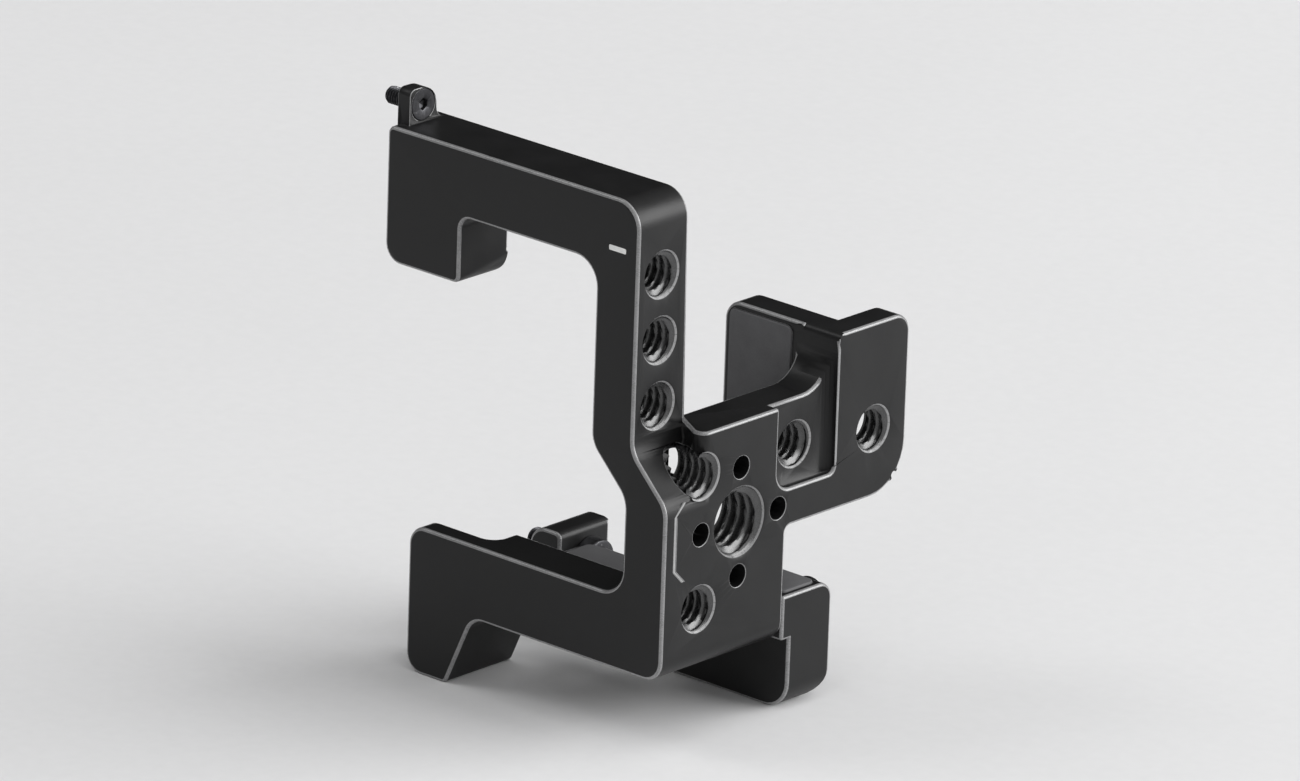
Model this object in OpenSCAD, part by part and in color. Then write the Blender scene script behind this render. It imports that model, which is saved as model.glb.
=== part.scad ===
// Small machined cage with a threaded side panel, a bolted rear foot and two captive mounting screws.
// Drawing coordinates: x outward from the strip's outer face, y rearward from the front face,
// z up from the top edge. placed() then moves the origin to the large accessory thread.

/* [Front plate] */
// Height of the front plate at its outer side
frame_h = 65; // [62:1:72]
// Depth of the front plate, front to back
plate_t = 9.6; // [9:0.1:11]
// Reach of the upper block from the strip's outer face to its contact face
arm_reach = 45.2; // [43:0.1:50]
// Reach of the legs from the strip's outer face to their contact faces
lower_reach = 39.4; // [38:0.1:42]
// Width of the vertical strip
strip_w = 7.3; // [6.9:0.1:8]
// Height of the top arm
top_arm_h = 9.5; // [8.5:0.1:11]
// Width of the block that hangs from the top arm
block_w = 13.4; // [11:0.1:15]
// Height of that block, measured from the top edge
block_h = 18.9; // [17:0.1:22]
// Height of the lower arm
lower_arm_h = 10.4; // [9:0.1:11.5]
// Depth of the lower arm, front to back
lower_arm_t = 7.7; // [7:0.1:9]
// How far the legs reach below the front plate
leg_drop = 10.4; // [9:0.1:14]
// Width of the front leg at its bottom
leg_w = 7.2; // [6.5:0.1:9]
// How much wider the front leg is at its top
leg_flare = 4.6; // [3.5:0.1:5.5]
// Depth of the front leg, front to back
leg_t = 13.2; // [12:0.1:15]

/* [Outward jog] */
// How far the lower half of the strip steps outward
jog_out = 6.3; // [5.5:0.1:6.5]
// Where the outer ramp starts above the plate's lower edge
jog_up = 30.8; // [29:0.1:31.5]
// How much lower the inner ramp starts
jog_lag = 0.4; // [0:0.1:1]
// Depth of the ramp behind the front face
jog_depth = 8.2; // [7.8:0.1:9]
// Rounding of the ramp's bends
jog_r = 3.9; // [3:0.1:4.5]

/* [Outline rounding] */
// Upper outer corner and the window's corners
corner_r = 3.8; // [3:0.1:4.5]
// Lower outer corner
low_corner_r = 3; // [2:0.1:3.5]
// Feet, block and ear corners
foot_corner_r = 2.7; // [2:0.1:3]
// Fillet between the block and the top arm
block_fillet_r = 1.8; // [1:0.1:2.5]
// Small edge rounding
small_r = 1; // [0.6:0.1:1.2]

/* [Side panel] */
// Panel's upper edge above the plate's lower edge
panel_up = 33.4; // [32:0.1:34]
// Rear edge of the panel's lower half, from the front face
panel_rear = 24; // [23.6:0.1:24.5]
// Rear end of the flange, from the front face
flange_rear = 47.7; // [46:0.1:52]
// Flange's lower edge above the plate's lower edge
flange_up = 16.3; // [15:0.1:17]
// Thickness of the flange
flange_t = 4.5; // [4:0.1:5]
// Rounding of the flange's lower rear corner
flange_r = 6.8; // [5:0.1:7.5]
// Front face of the rear post, from the front face of the plate
post_front = 33.4; // [33:0.1:36]
// Post's upper edge above the plate's lower edge
post_up = 41; // [39:0.5:47]
// Depth of the post, front to back
post_t = 4.8; // [4:0.1:6]
// How far the post reaches inward
post_reach = 14; // [12:0.5:18]
// Fillet between the panel's upper edge and the post
post_fillet_r = 5; // [3:0.1:6]
// Depth of the recess beside the post
recess_d = 1.6; // [1:0.1:2]
// Front edge of the recess
recess_front = 22; // [21:0.1:23]
// Fillet between the recess floor and the post
recess_fillet_r = 1.5; // [0.8:0.1:1.6]
// Lower edge of the recess above the plate's lower edge
recess_up = 21.6; // [21.4:0.1:22.5]
// Width of the engraved bracket line
line_w = 0.45; // [0.3:0.05:0.6]
// Depth of the engraved bracket line
line_d = 0.3; // [0.2:0.05:0.5]
// Front end of the panel above the ramp, from the front face
cheek_front = 7; // [6.5:0.1:7.5]
// Where the cheek's slanted inner end meets its front end
cheek_out = 4.4; // [3.5:0.1:4.8]
// Rounding of the cheek's outer corner
cheek_r = 1.3; // [0.8:0.1:1.8]

/* [Floor] */
// Floor's upper face above the plate's lower edge
floor_up = 6.3; // [6:0.1:6.8]
// How far the floor reaches inward from the strip's outer face
floor_reach = 25.8; // [20:0.1:26.5]
// Rear edge of the floor, from the front face
floor_rear = 21; // [18:0.5:23]
// How far the rail beside the panel reaches inward from the strip's outer face
rail_reach = 8.6; // [8:0.1:10]

/* [Threads] */
// Major diameter of the small accessory threads
small_thread_d = 6.35; // [6:0.05:6.5]
// Major diameter of the large accessory thread
large_thread_d = 9.525; // [9:0.025:10]
// Chamfer at the mouth of every thread
thread_chamfer = 0.3; // [0.2:0.05:0.4]
// First strip thread below the top edge
strip_first = 10.6; // [10.2:0.1:11]
// Spacing of the strip threads
strip_pitch = 9.1; // [8.5:0.1:9.3]
// Large thread behind the front face
large_y = 14.7; // [14.5:0.1:15]
// Large thread above the plate's lower edge
large_up = 19.3; // [19:0.1:19.5]
// Panel threads behind the front face
panel_thread_y = 7.2; // [7:0.1:7.4]
// Upper panel thread above the large thread
panel_thread_up = 8.1; // [7.5:0.1:8.5]
// Lower panel thread below the large thread
panel_thread_down = 10.4; // [10:0.1:11]
// Recess thread behind the front face
recess_thread_y = 27; // [26.5:0.1:27.5]
// Recess thread above the large thread
recess_thread_up = 7.5; // [7:0.1:8]
// Flange thread in front of the flange's rear end
flange_thread_in = 6.6; // [6:0.1:7.5]
// Flange thread above the large thread
flange_thread_up = 6.7; // [6:0.1:8]
// Diameter of the four locating holes round the large thread
locate_d = 3.2; // [3:0.1:3.4]
// Distance of the locating holes from the large thread
locate_reach = 7.6; // [7.4:0.1:7.7]
// Depth of the locating holes
locate_depth = 4.2; // [3.5:0.1:4.6]

/* [Rear foot] */
// Front face of the foot, from the front face of the plate
foot_front = 25.5; // [25:0.1:26]
// Rear face of the foot, from the front face of the plate
foot_rear = 33.9; // [33:0.1:36]
// Rounding of the foot's outer corner
foot_outer_r = 4; // [3:0.1:4.5]
// Rounding of the foot's upper rear edge
foot_top_r = 2.3; // [1.5:0.1:3]
// Height of the bar that joins the two ends of the foot
bar_h = 6.4; // [6:0.1:6.6]
// Top of the inner lug below the foot's top
lug_step = 1.9; // [1.5:0.1:2.2]
// Thickness of the inner lug
lug_t = 5.5; // [5:0.1:6.5]

/* [Upper captive screw] */
// Thickness of the ear
ear_t = 2.2; // [2.2:0.1:3]
// Width of the ear, front to back
ear_w = 5.2; // [5.2:0.1:6]
// Ear's front edge behind the front face
ear_front = 1.8; // [1.4:0.1:2.2]
// Ear's height above the top edge
ear_h = 4.9; // [4.9:0.1:5.5]
// Rounding of the ear's rear corner
ear_r = 3; // [2:0.1:3]
// Diameter of the upper screw
upper_d = 2.5; // [2.4:0.05:2.6]
// Head diameter of the upper screw
upper_head_d = 4.4; // [4:0.1:4.4]
// How far the upper screw stands out of its contact face
upper_out = 4; // [3:0.1:6]
// Outer diameter of its retaining ring
upper_ring_d = 4; // [3.6:0.1:4]
// Thickness of its retaining ring
upper_ring_t = 0.4; // [0.3:0.05:0.4]
// Bore of its retaining ring
upper_ring_bore_d = 1.9; // [1.8:0.1:2]

/* [Lower captive screw] */
// Diameter of the lower screw
lower_d = 3; // [2.9:0.1:3]
// Head diameter of the lower screw
lower_head_d = 5.5; // [5:0.1:5.5]
// Head height of the lower screw
lower_head_h = 2.4; // [2:0.1:3]
// How far the tightened lower screw stands out of its contact face
lower_out = 4.6; // [4:0.1:6]
// How far it can be drawn back
lower_travel = 1.6; // [1:0.1:1.8]
// Outer diameter of its retaining ring
lower_ring_d = 4.6; // [4.4:0.1:4.7]
// Thickness of its retaining ring
lower_ring_t = 0.5; // [0.4:0.1:0.6]
// Bore of its retaining ring
lower_ring_bore_d = 2.4; // [2.3:0.1:2.5]
// Screw axis of the foot above the foot's lower face
lug_axis_up = 10.4; // [10.2:0.1:10.8]

/* [Foot screws and pins] */
// Diameter of the foot screws
foot_screw_d = 3; // [2.5:0.1:3]
// Length of the foot screws under the head
foot_screw_l = 14; // [12:1:16]
// Head diameter of the foot screws
foot_head_d = 5.5; // [5:0.1:5.5]
// Head height of the foot screws
foot_head_h = 3; // [2.5:0.1:3]
// Diameter of the locating pins
pin_d = 3; // [2.5:0.1:3]
// Whole length of the locating pins
pin_l = 8; // [7:0.5:9]
// How far the pins stand out of the contact faces
pin_out = 2.5; // [2:0.1:3.5]

/* [Pads] */
// Thickness of the silicone pads
pad_t = 0.6; // [0.5:0.1:0.8]
// Depth of the pockets that the pads are glued into
pocket_d = 0.3; // [0.2:0.05:0.4]
// Corner rounding of the pads
pad_r = 1; // [0.5:0.1:1.5]
// Free border left round a pad
pad_border = 1; // [0.8:0.1:1.2]

/* [Hidden] */
// Smoothness of round walls, and steps in the arc of an outline's corner
$fn = 64;
arc_steps = 8;
// Overrun of cuts, running clearance and snug clearance
over = 1;
run_gap = 0.06;
snug_gap = 0.01;
// Heights below the top edge of what is measured from the plate's lower edge
total_h = frame_h + leg_drop;
window_low = frame_h - lower_arm_h;
jog_top = frame_h - jog_up;
panel_top = frame_h - panel_up;
flange_low = frame_h - flange_up;
post_top = frame_h - post_up;
recess_low = frame_h - recess_up;
floor_top = frame_h - floor_up;
large_drop = frame_h - large_up;
lug_axis_drop = total_h - lug_axis_up;
window_in = strip_w - jog_out;
block_in = arm_reach - block_w;
leg_in = lower_reach - leg_w;
lug_top = floor_top + lug_step;
bar_top = total_h - bar_h;
foot_mid = (foot_front + foot_rear) / 2;
strip_mid = plate_t / 2;
flange_screw_y = flange_rear - flange_thread_in;
// Notch behind the lower arm, and where the leg's back begins
notch_front = 3.3;
notch_width = 12.4;
notch_drop = 7.5;
notch_r = 2.2;
leg_top = window_low + notch_drop;
// Screw axis in the ear, the ear's fillet and the shape of the screw's head
ear_axis_y = ear_front + ear_w / 2;
ear_axis_z = ear_h / 2;
ear_fillet_r = 1.6;
upper_rim_h = 0.2;
upper_cone_h = (upper_head_d - upper_d) / 2;
upper_ring_seat = upper_ring_t + 2 * run_gap;
// How far the upper screw's ring groove runs out past the contact face
upper_relief = 0.1;
// Rings: inset behind the contact face, width of the opening; room round a head
ring_inset = 0.2;
ring_gap_w = 1.2;
head_gap = 0.3;
lower_ring_seat = ring_inset + lower_ring_t + lower_travel + head_gap;
// Width across the flats of the hexagon sockets, their depth and the chamfer of the tips
upper_key_af = 1.5;
lower_key_af = 2;
key_share = 0.55;
tip_chamfer = 0.4;
// Foot screws and pins
foot_screw_xs = [-(rail_reach + window_in) / 2, (jog_out - window_in) / 2];
foot_screw_drop = (floor_top + frame_h) / 2;
pin_places = [
    [-arm_reach, strip_mid, -(top_arm_h + block_h) / 2],
    [-lower_reach, leg_t / 2, -(frame_h + leg_drop / 2)],
    [-lower_reach, foot_mid, -(total_h - bar_h / 2)]];
// Small relief at the flange's corner
relief_r = 0.55;
relief_share = 0.3;
// Corners of the engraved bracket line: y behind the front face and z from the large thread
line_edge = 2.1;
line_diagonal = 1.7;
line_up = 3.6;
line_down = 4;
// Pads: the two limits across, the two limits in z or y, and the face that carries the pad
block_pad_box = [-arm_reach + pad_border, -block_in - pad_border,
    -block_h + foot_corner_r + pad_border, -pad_border, plate_t];
strip_pad_box = [-strip_w + pad_border, -pad_border,
    -panel_top + pad_border, -corner_r, plate_t];
panel_pad_box = [plate_t + 2 * pad_border, recess_front,
    -floor_top + 2 * pad_border, -panel_top - pad_border, -window_in];
post_pad_box = [-post_reach + pad_border, -window_in - pad_border,
    -flange_low + pad_border, -post_top - pad_border, post_front];
floor_pad_box = [-floor_reach + pad_border, -rail_reach,
    plate_t, floor_rear - pad_border, -floor_top];
foot_pad_box = [-rail_reach + pad_border, jog_out - pad_border,
    panel_rear + pad_border, foot_rear - foot_top_r, -floor_top];

// Unit vector
function unit(v) = v / norm(v);
// Points of the arc that rounds corner b between a and c, radius r
function corner_arc(a, b, c, r) =
    let (u = unit(a - b), v = unit(c - b), half = acos(max(-1, min(1, u * v))) / 2)
    r == 0 ? [b] :
    let (centre = b + unit(u + v) * r / sin(half), side = u[0] * v[1] - u[1] * v[0],
        p = b + u * r / tan(half) - centre, start = atan2(p[1], p[0]),
        sweep = (side > 0 ? -1 : 1) * (180 - 2 * half))
    [for (i = [0:arc_steps]) centre + r * [cos(start + sweep * i / arc_steps),
        sin(start + sweep * i / arc_steps)]];
// Outline through corners [x, y, radius]
function rounded(c) =
    let (n = len(c), flat = [for (q = c) [q[0], q[1]]])
    [for (i = [0:n - 1])
        each corner_arc(flat[(i + n - 1) % n], flat[i], flat[(i + 1) % n], c[i][2])];

// Origin at the mouth of the large accessory thread
module placed() {
    translate([-jog_out, -large_y, large_drop]) children();
}
// Outline in x and z, drawn from y0 to y1
module along_y(corners, y0, y1) {
    translate([0, y1, 0]) rotate([90, 0, 0]) linear_extrude(y1 - y0) polygon(rounded(corners));
}
// Outline in y and z, drawn from x0 to x1
module along_x(corners, x0, x1) {
    translate([x0, 0, 0]) rotate([90, 0, 90]) linear_extrude(x1 - x0) polygon(rounded(corners));
}
// Outline in x and y, drawn from z0 to z1
module along_z(corners, z0, z1) {
    translate([0, 0, z0]) linear_extrude(z1 - z0) polygon(rounded(corners));
}
// Round bar on an axis along x, from x0 to x1
module bar_x(d, x0, x1, y, z) {
    translate([x0, y, z]) rotate([0, 90, 0]) cylinder(d = d, h = x1 - x0);
}
// Threaded hole along x that enters at x = mouth and ends at x = bottom
module thread_x(d, mouth, bottom, y, z) {
    bar_x(d, bottom, mouth + over, y, z);
    translate([mouth - thread_chamfer, y, z]) rotate([0, 90, 0])
        cylinder(d1 = d, d2 = d + 2 * thread_chamfer, h = thread_chamfer);
    bar_x(d + 2 * thread_chamfer, mouth, mouth + over, y, z);
}

// Four rounded corners of a pad's box, grown by g on every side
function pad_corners(b, g) = [
    [b[0] - g, b[2] - g, pad_r + g],
    [b[1] + g, b[2] - g, pad_r + g],
    [b[1] + g, b[3] + g, pad_r + g],
    [b[0] - g, b[3] + g, pad_r + g]];
// Pad or pocket on a face across x, y or z, from t0 to t1 past that face
module across_x(b, g, t0, t1) {
    along_x(pad_corners(b, g), b[4] + t0, b[4] + t1);
}
module across_y(b, g, t0, t1) {
    along_y(pad_corners(b, g), b[4] + t0, b[4] + t1);
}
module across_z(b, g, t0, t1) {
    along_z(pad_corners(b, g), b[4] + t0, b[4] + t1);
}

// Front plate as seen from the front
module front_plate() {
    along_y([
        [-arm_reach, 0, small_r],
        [0, 0, corner_r],
        [0, -jog_top, jog_r],
        [jog_out, -jog_top - jog_out, jog_r],
        [jog_out, -frame_h, low_corner_r],
        [-leg_in + leg_flare, -frame_h, low_corner_r],
        [-leg_in, -total_h, small_r],
        [-lower_reach, -total_h, foot_corner_r],
        [-lower_reach, -window_low, foot_corner_r],
        [-window_in, -window_low, corner_r],
        [-window_in, -jog_top - jog_lag - jog_out, jog_r],
        [-strip_w, -jog_top - jog_lag, jog_r],
        [-strip_w, -top_arm_h, corner_r],
        [-block_in, -top_arm_h, block_fillet_r],
        [-block_in, -block_h, small_r],
        [-arm_reach, -block_h, foot_corner_r]], 0, plate_t);
}
// Lower part of the front leg, which is deeper than the plate
module front_leg() {
    along_y([
        [-leg_in + leg_flare, -leg_top, small_r],
        [-leg_in + leg_flare, -frame_h, 0],
        [-leg_in, -total_h, small_r],
        [-lower_reach, -total_h, foot_corner_r],
        [-lower_reach, -leg_top, small_r]], notch_front, leg_t);
}
// Side panel, edge of the rear post and flange, seen from the outer side
module side_panel() {
    intersection() {
        along_x([
            [0, -panel_top, 0],
            [post_front, -panel_top, post_fillet_r],
            [post_front, -post_top, small_r],
            [flange_rear, -post_top, foot_corner_r],
            [flange_rear, -flange_low, flange_r],
            [panel_rear, -flange_low, small_r],
            [panel_rear, -frame_h, 0],
            [0, -frame_h, 0]], -window_in, jog_out);
        along_y([
            [-window_in, over, 0],
            [jog_out, over, 0],
            [jog_out, -frame_h, low_corner_r],
            [-window_in, -frame_h, 0]], 0, flange_rear + over);
        along_z([
            [-window_in, plate_t - over, 0],
            [0, plate_t - over, 0],
            [0, plate_t, 0],
            [cheek_out, cheek_front, small_r],
            [jog_out, cheek_front, cheek_r],
            [jog_out, flange_rear + over, 0],
            [-window_in, flange_rear + over, 0]], -frame_h - over, -post_top + over);
    }
}
// Rear post, the plate that closes the bay at the back
module post() {
    along_y([
        [-post_reach, -post_top, foot_corner_r],
        [-window_in + over, -post_top, 0],
        [-window_in + over, -flange_low, 0],
        [-post_reach, -flange_low, foot_corner_r]], post_front, post_front + post_t);
}
// Floor, and the rail beside the panel that carries the rear foot
module floor_plate() {
    along_z([
        [-floor_reach, lower_arm_t - over, 0],
        [-floor_reach, floor_rear, low_corner_r],
        [-rail_reach, floor_rear, small_r],
        [-rail_reach, panel_rear, 0],
        [-window_in + over, panel_rear, 0],
        [-window_in + over, lower_arm_t - over, 0]], -frame_h, -floor_top);
}
// Ear on top of the block for the upper captive screw
module ear() {
    along_x([
        [ear_front, -over, 0],
        [ear_front, ear_h, small_r],
        [ear_front + ear_w, ear_h, ear_r],
        [ear_front + ear_w, 0, ear_fillet_r],
        [plate_t, 0, 0],
        [plate_t, -over, 0]], -arm_reach, -arm_reach + ear_t);
}
// Hole of the lower captive screw: through hole and deep seat for the ring
module lower_hole() {
    bar_x(lower_d + 2 * run_gap, -lower_reach - over, -lower_reach + lug_t + over,
        foot_mid, -lug_axis_drop);
    bar_x(lower_ring_d + 2 * run_gap, -lower_reach - over, -lower_reach + lower_ring_seat,
        foot_mid, -lug_axis_drop);
}
// Hole of the upper captive screw: through hole, shallow ring seat and countersink
module upper_hole() {
    bar_x(upper_d + 2 * run_gap, -arm_reach - over, -arm_reach + ear_t + over,
        ear_axis_y, ear_axis_z);
    bar_x(upper_ring_d + 2 * run_gap, -arm_reach - over, -arm_reach + upper_ring_seat,
        ear_axis_y, ear_axis_z);
    translate([-arm_reach + ear_t - upper_rim_h - upper_cone_h, ear_axis_y, ear_axis_z])
        rotate([0, 90, 0]) cylinder(d1 = upper_d + 2 * run_gap, d2 = upper_head_d + 2 * run_gap,
            h = upper_cone_h);
    bar_x(upper_head_d + 2 * run_gap, -arm_reach + ear_t - upper_rim_h, -arm_reach + ear_t + over,
        ear_axis_y, ear_axis_z);
}
// Engraved line in front of the large thread
module bracket_line() {
    z0 = -large_drop;
    half = line_w / 2;
    along_x([
        [line_edge + line_diagonal - half, z0 + line_up + line_diagonal, 0],
        [line_edge + line_diagonal + half, z0 + line_up + line_diagonal, 0],
        [line_edge + half, z0 + line_up, 0],
        [line_edge + half, z0 - line_down, 0],
        [line_edge + line_diagonal + half, z0 - line_down - line_diagonal, 0],
        [line_edge + line_diagonal - half, z0 - line_down - line_diagonal, 0],
        [line_edge - half, z0 - line_down, 0],
        [line_edge - half, z0 + line_up, 0]], jog_out - line_d, jog_out + over);
}
// Everything that is machined away from the frame
module frame_cuts() {
    // Back of the lower arm, then the clearance notch behind the leg
    along_z([
        [-lower_reach - over, lower_arm_t, 0],
        [-window_in, lower_arm_t, small_r],
        [-window_in, plate_t + over, 0],
        [-lower_reach - over, plate_t + over, 0]], -floor_top, -window_low + over);
    along_z([
        [-lower_reach - over, lower_arm_t, 0],
        [-floor_reach, lower_arm_t, 0],
        [-floor_reach, plate_t + over, 0],
        [-lower_reach - over, plate_t + over, 0]], -frame_h - over, -window_low + over);
    along_z([
        [-lower_reach - over, notch_front, 0],
        [-lower_reach + notch_width, notch_front, notch_r],
        [-lower_reach + notch_width, plate_t + over, 0],
        [-lower_reach - over, plate_t + over, 0]], -window_low - notch_drop, -window_low + over);
    // Rounded lower rear edge of the block
    difference() {
        translate([-arm_reach - over, plate_t - foot_corner_r, -block_h - over])
            cube([block_w + 2 * over, foot_corner_r + over, foot_corner_r + over]);
        bar_x(2 * foot_corner_r, -arm_reach - 2 * over, -block_in + 2 * over,
            plate_t - foot_corner_r, -block_h + foot_corner_r);
    }
    // Inner side of the flange behind the post
    translate([-window_in - over, post_front + post_t, -flange_low - over])
        cube([strip_w - flange_t + over, flange_rear - post_front, flange_low - post_top + 2 * over]);
    // Recess beside the post
    intersection() {
        along_x([
            [recess_front, over, 0],
            [post_front, over, 0],
            [post_front, -recess_low, small_r],
            [recess_front, -recess_low, foot_corner_r]], jog_out - recess_d, jog_out + over);
        along_z([
            [jog_out - recess_d, recess_front, 0],
            [jog_out + over, recess_front, 0],
            [jog_out + over, post_front, 0],
            [jog_out - recess_d, post_front, recess_fillet_r]], -recess_low - over, over);
    }
    // Relief in the flange's corner
    bar_x(2 * relief_r, -window_in - over, jog_out + over,
        flange_rear - flange_r * relief_share, -flange_low + flange_r * relief_share);
    // Threads of the strip, as many as fit above the ramp
    for (i = [0:floor((jog_top - strip_first - small_thread_d / 2) / strip_pitch)])
        thread_x(small_thread_d, 0, -strip_w - over, strip_mid, -strip_first - i * strip_pitch);
    // Threads of the panel, recess and flange
    thread_x(small_thread_d, jog_out, -window_in - over, panel_thread_y,
        panel_thread_up - large_drop);
    thread_x(small_thread_d, jog_out, -window_in - over, panel_thread_y,
        -panel_thread_down - large_drop);
    thread_x(small_thread_d, jog_out - recess_d, -window_in - over, recess_thread_y,
        recess_thread_up - large_drop);
    thread_x(small_thread_d, jog_out, jog_out - flange_t - over, flange_screw_y,
        flange_thread_up - large_drop);
    thread_x(large_thread_d, jog_out, -window_in - over, large_y, -large_drop);
    // Locating holes
    for (side = [[1, 0], [-1, 0], [0, 1], [0, -1]])
        bar_x(locate_d, jog_out - locate_depth, jog_out + over,
            large_y + side[0] * locate_reach, -large_drop + side[1] * locate_reach);
    bracket_line();
    upper_hole();
    // Pockets of the pads
    across_y(block_pad_box, snug_gap, -pocket_d, over);
    across_y(strip_pad_box, snug_gap, -pocket_d, over);
    across_y(post_pad_box, snug_gap, -over, pocket_d);
    across_x(panel_pad_box, snug_gap, -over, pocket_d);
    across_z(floor_pad_box, snug_gap, -pocket_d, over);
    // Pins and foot screws
    for (i = [0:1])
        bar_x(pin_d + 2 * snug_gap, pin_places[i][0] - over, pin_places[i][0] + pin_l - pin_out,
            pin_places[i][1], pin_places[i][2]);
    for (x = foot_screw_xs)
        translate([x, panel_rear + over, -foot_screw_drop]) rotate([90, 0, 0])
            cylinder(d = foot_screw_d + 2 * snug_gap,
                h = foot_screw_l - (foot_rear - foot_head_h - panel_rear) + 2 * over);
}
// Machined one-piece frame
module cage_frame() {
    color([0.09, 0.09, 0.095]) placed() difference() {
        union() {
            front_plate();
            front_leg();
            side_panel();
            post();
            floor_plate();
            ear();
        }
        frame_cuts();
    }
}
// Machined rear foot, bolted to the back of the rail
module rear_foot() {
    color([0.09, 0.09, 0.095]) placed() difference() {
        intersection() {
            along_y([
                [jog_out, -floor_top, 0],
                [jog_out, -total_h, foot_outer_r],
                [-lower_reach, -total_h, foot_corner_r],
                [-lower_reach, -lug_top, foot_corner_r],
                [-lower_reach + lug_t, -lug_top, small_r],
                [-lower_reach + lug_t, -bar_top, small_r],
                [-rail_reach, -bar_top, foot_corner_r],
                [-rail_reach, -floor_top, 0]], panel_rear - over, foot_rear + over);
            along_x([
                [panel_rear, -floor_top, 0],
                [foot_rear, -floor_top, foot_top_r],
                [foot_rear, -total_h, foot_outer_r],
                [foot_front, -total_h, 0],
                [foot_front, -frame_h, 0],
                [panel_rear, -frame_h, 0]], -lower_reach - over, jog_out + over);
        }
        lower_hole();
        across_z(foot_pad_box, snug_gap, -pocket_d, over);
        bar_x(pin_d + 2 * snug_gap, -lower_reach - over, -lower_reach + pin_l - pin_out,
            foot_mid, pin_places[2][2]);
        for (x = foot_screw_xs)
            translate([x, foot_rear + over, -foot_screw_drop]) rotate([90, 0, 0]) {
                cylinder(d = foot_screw_d + 2 * snug_gap, h = foot_rear - panel_rear + 2 * over);
                cylinder(d = foot_head_d + 2 * head_gap, h = foot_head_h + over);
            }
    }
}
// Hexagon socket of a screw head, cut downward from z = 0
module key_socket(af, head_h) {
    translate([0, 0, -head_h * key_share])
        cylinder(d = af / cos(30), h = head_h * key_share + over, $fn = 6);
}
// Two screws that hold the rear foot
module foot_screws() {
    color([0.16, 0.16, 0.17]) placed()
        for (x = foot_screw_xs)
            translate([x, foot_rear, -foot_screw_drop]) rotate([-90, 0, 0]) difference() {
                union() {
                    translate([0, 0, -foot_head_h]) cylinder(d = foot_head_d, h = foot_head_h);
                    translate([0, 0, -foot_head_h - foot_screw_l])
                        cylinder(d = foot_screw_d, h = foot_screw_l + foot_head_h / 2);
                }
                key_socket(lower_key_af, foot_head_h);
            }
}
// Three dowel pins in the contact faces
module locating_pins() {
    color([0.72, 0.72, 0.73]) placed()
        for (p = pin_places)
            translate([p[0] - pin_out, p[1], p[2]]) rotate([0, 90, 0]) {
                translate([0, 0, tip_chamfer]) cylinder(d = pin_d, h = pin_l - tip_chamfer);
                cylinder(d1 = pin_d - 2 * tip_chamfer, d2 = pin_d, h = tip_chamfer);
            }
}
// Threaded shank with a groove for its ring, from z = -length to z = 0
module shank(d, length, groove_z, groove_w, groove_d) {
    difference() {
        union() {
            translate([0, 0, -length + tip_chamfer]) cylinder(d = d, h = length - tip_chamfer);
            translate([0, 0, -length])
                cylinder(d1 = d - 2 * tip_chamfer, d2 = d, h = tip_chamfer);
        }
        translate([0, 0, groove_z]) difference() {
            cylinder(d = d + over, h = groove_w);
            translate([0, 0, -over]) cylinder(d = groove_d, h = groove_w + 2 * over);
        }
    }
}
// Open retaining ring lying on z = 0
module ring(d, bore_d, t) {
    difference() {
        cylinder(d = d, h = t);
        translate([0, 0, -over]) cylinder(d = bore_d, h = t + 2 * over);
        translate([0, -ring_gap_w / 2, -over]) cube([d, ring_gap_w, t + 2 * over]);
    }
}
// Countersunk captive screw in the ear
module upper_mount_screw() {
    color([0.16, 0.16, 0.17]) placed()
        translate([-arm_reach + ear_t, ear_axis_y, ear_axis_z]) rotate([0, 90, 0]) difference() {
            union() {
                translate([0, 0, -upper_rim_h]) cylinder(d = upper_head_d, h = upper_rim_h);
                translate([0, 0, -upper_rim_h - upper_cone_h])
                    cylinder(d1 = upper_d, d2 = upper_head_d, h = upper_cone_h);
                translate([0, 0, -upper_rim_h - upper_cone_h])
                    shank(upper_d, ear_t + upper_out - upper_rim_h - upper_cone_h,
                        upper_rim_h + upper_cone_h - ear_t - upper_relief,
                        upper_ring_t + 2 * run_gap + upper_relief,
                        upper_ring_bore_d - 2 * run_gap);
            }
            key_socket(upper_key_af, upper_rim_h + upper_cone_h);
        }
}
module upper_screw_ring() {
    color([0.6, 0.6, 0.62]) placed()
        translate([-arm_reach + run_gap, ear_axis_y, ear_axis_z]) rotate([0, 90, 0])
            ring(upper_ring_d, upper_ring_bore_d, upper_ring_t);
}
// Captive cap screw in the foot's inner lug
module lower_mount_screw() {
    color([0.16, 0.16, 0.17]) placed()
        translate([-lower_reach + lug_t, foot_mid, -lug_axis_drop]) rotate([0, 90, 0]) difference() {
            union() {
                cylinder(d = lower_head_d, h = lower_head_h);
                shank(lower_d, lug_t + lower_out, ring_inset - lug_t - run_gap,
                    lower_ring_t + 2 * run_gap, lower_ring_bore_d - 2 * run_gap);
            }
            translate([0, 0, lower_head_h]) key_socket(lower_key_af, lower_head_h);
        }
}
module lower_screw_ring() {
    color([0.6, 0.6, 0.62]) placed()
        translate([-lower_reach + ring_inset, foot_mid, -lug_axis_drop]) rotate([0, 90, 0])
            ring(lower_ring_d, lower_ring_bore_d, lower_ring_t);
}
// Pad on the back of the block
module block_pad() {
    color([0.2, 0.2, 0.21]) placed() across_y(block_pad_box, 0, -pocket_d, pad_t - pocket_d);
}
// Pad on the back of the strip
module strip_pad() {
    color([0.2, 0.2, 0.21]) placed() across_y(strip_pad_box, 0, -pocket_d, pad_t - pocket_d);
}
// Pad on the inner side of the panel, cut out round the large thread
module panel_pad() {
    color([0.2, 0.2, 0.21]) placed() difference() {
        across_x(panel_pad_box, 0, pocket_d - pad_t, pocket_d);
        bar_x(large_thread_d + 2 * thread_chamfer, -window_in - over, jog_out,
            large_y, -large_drop);
    }
}
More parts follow.
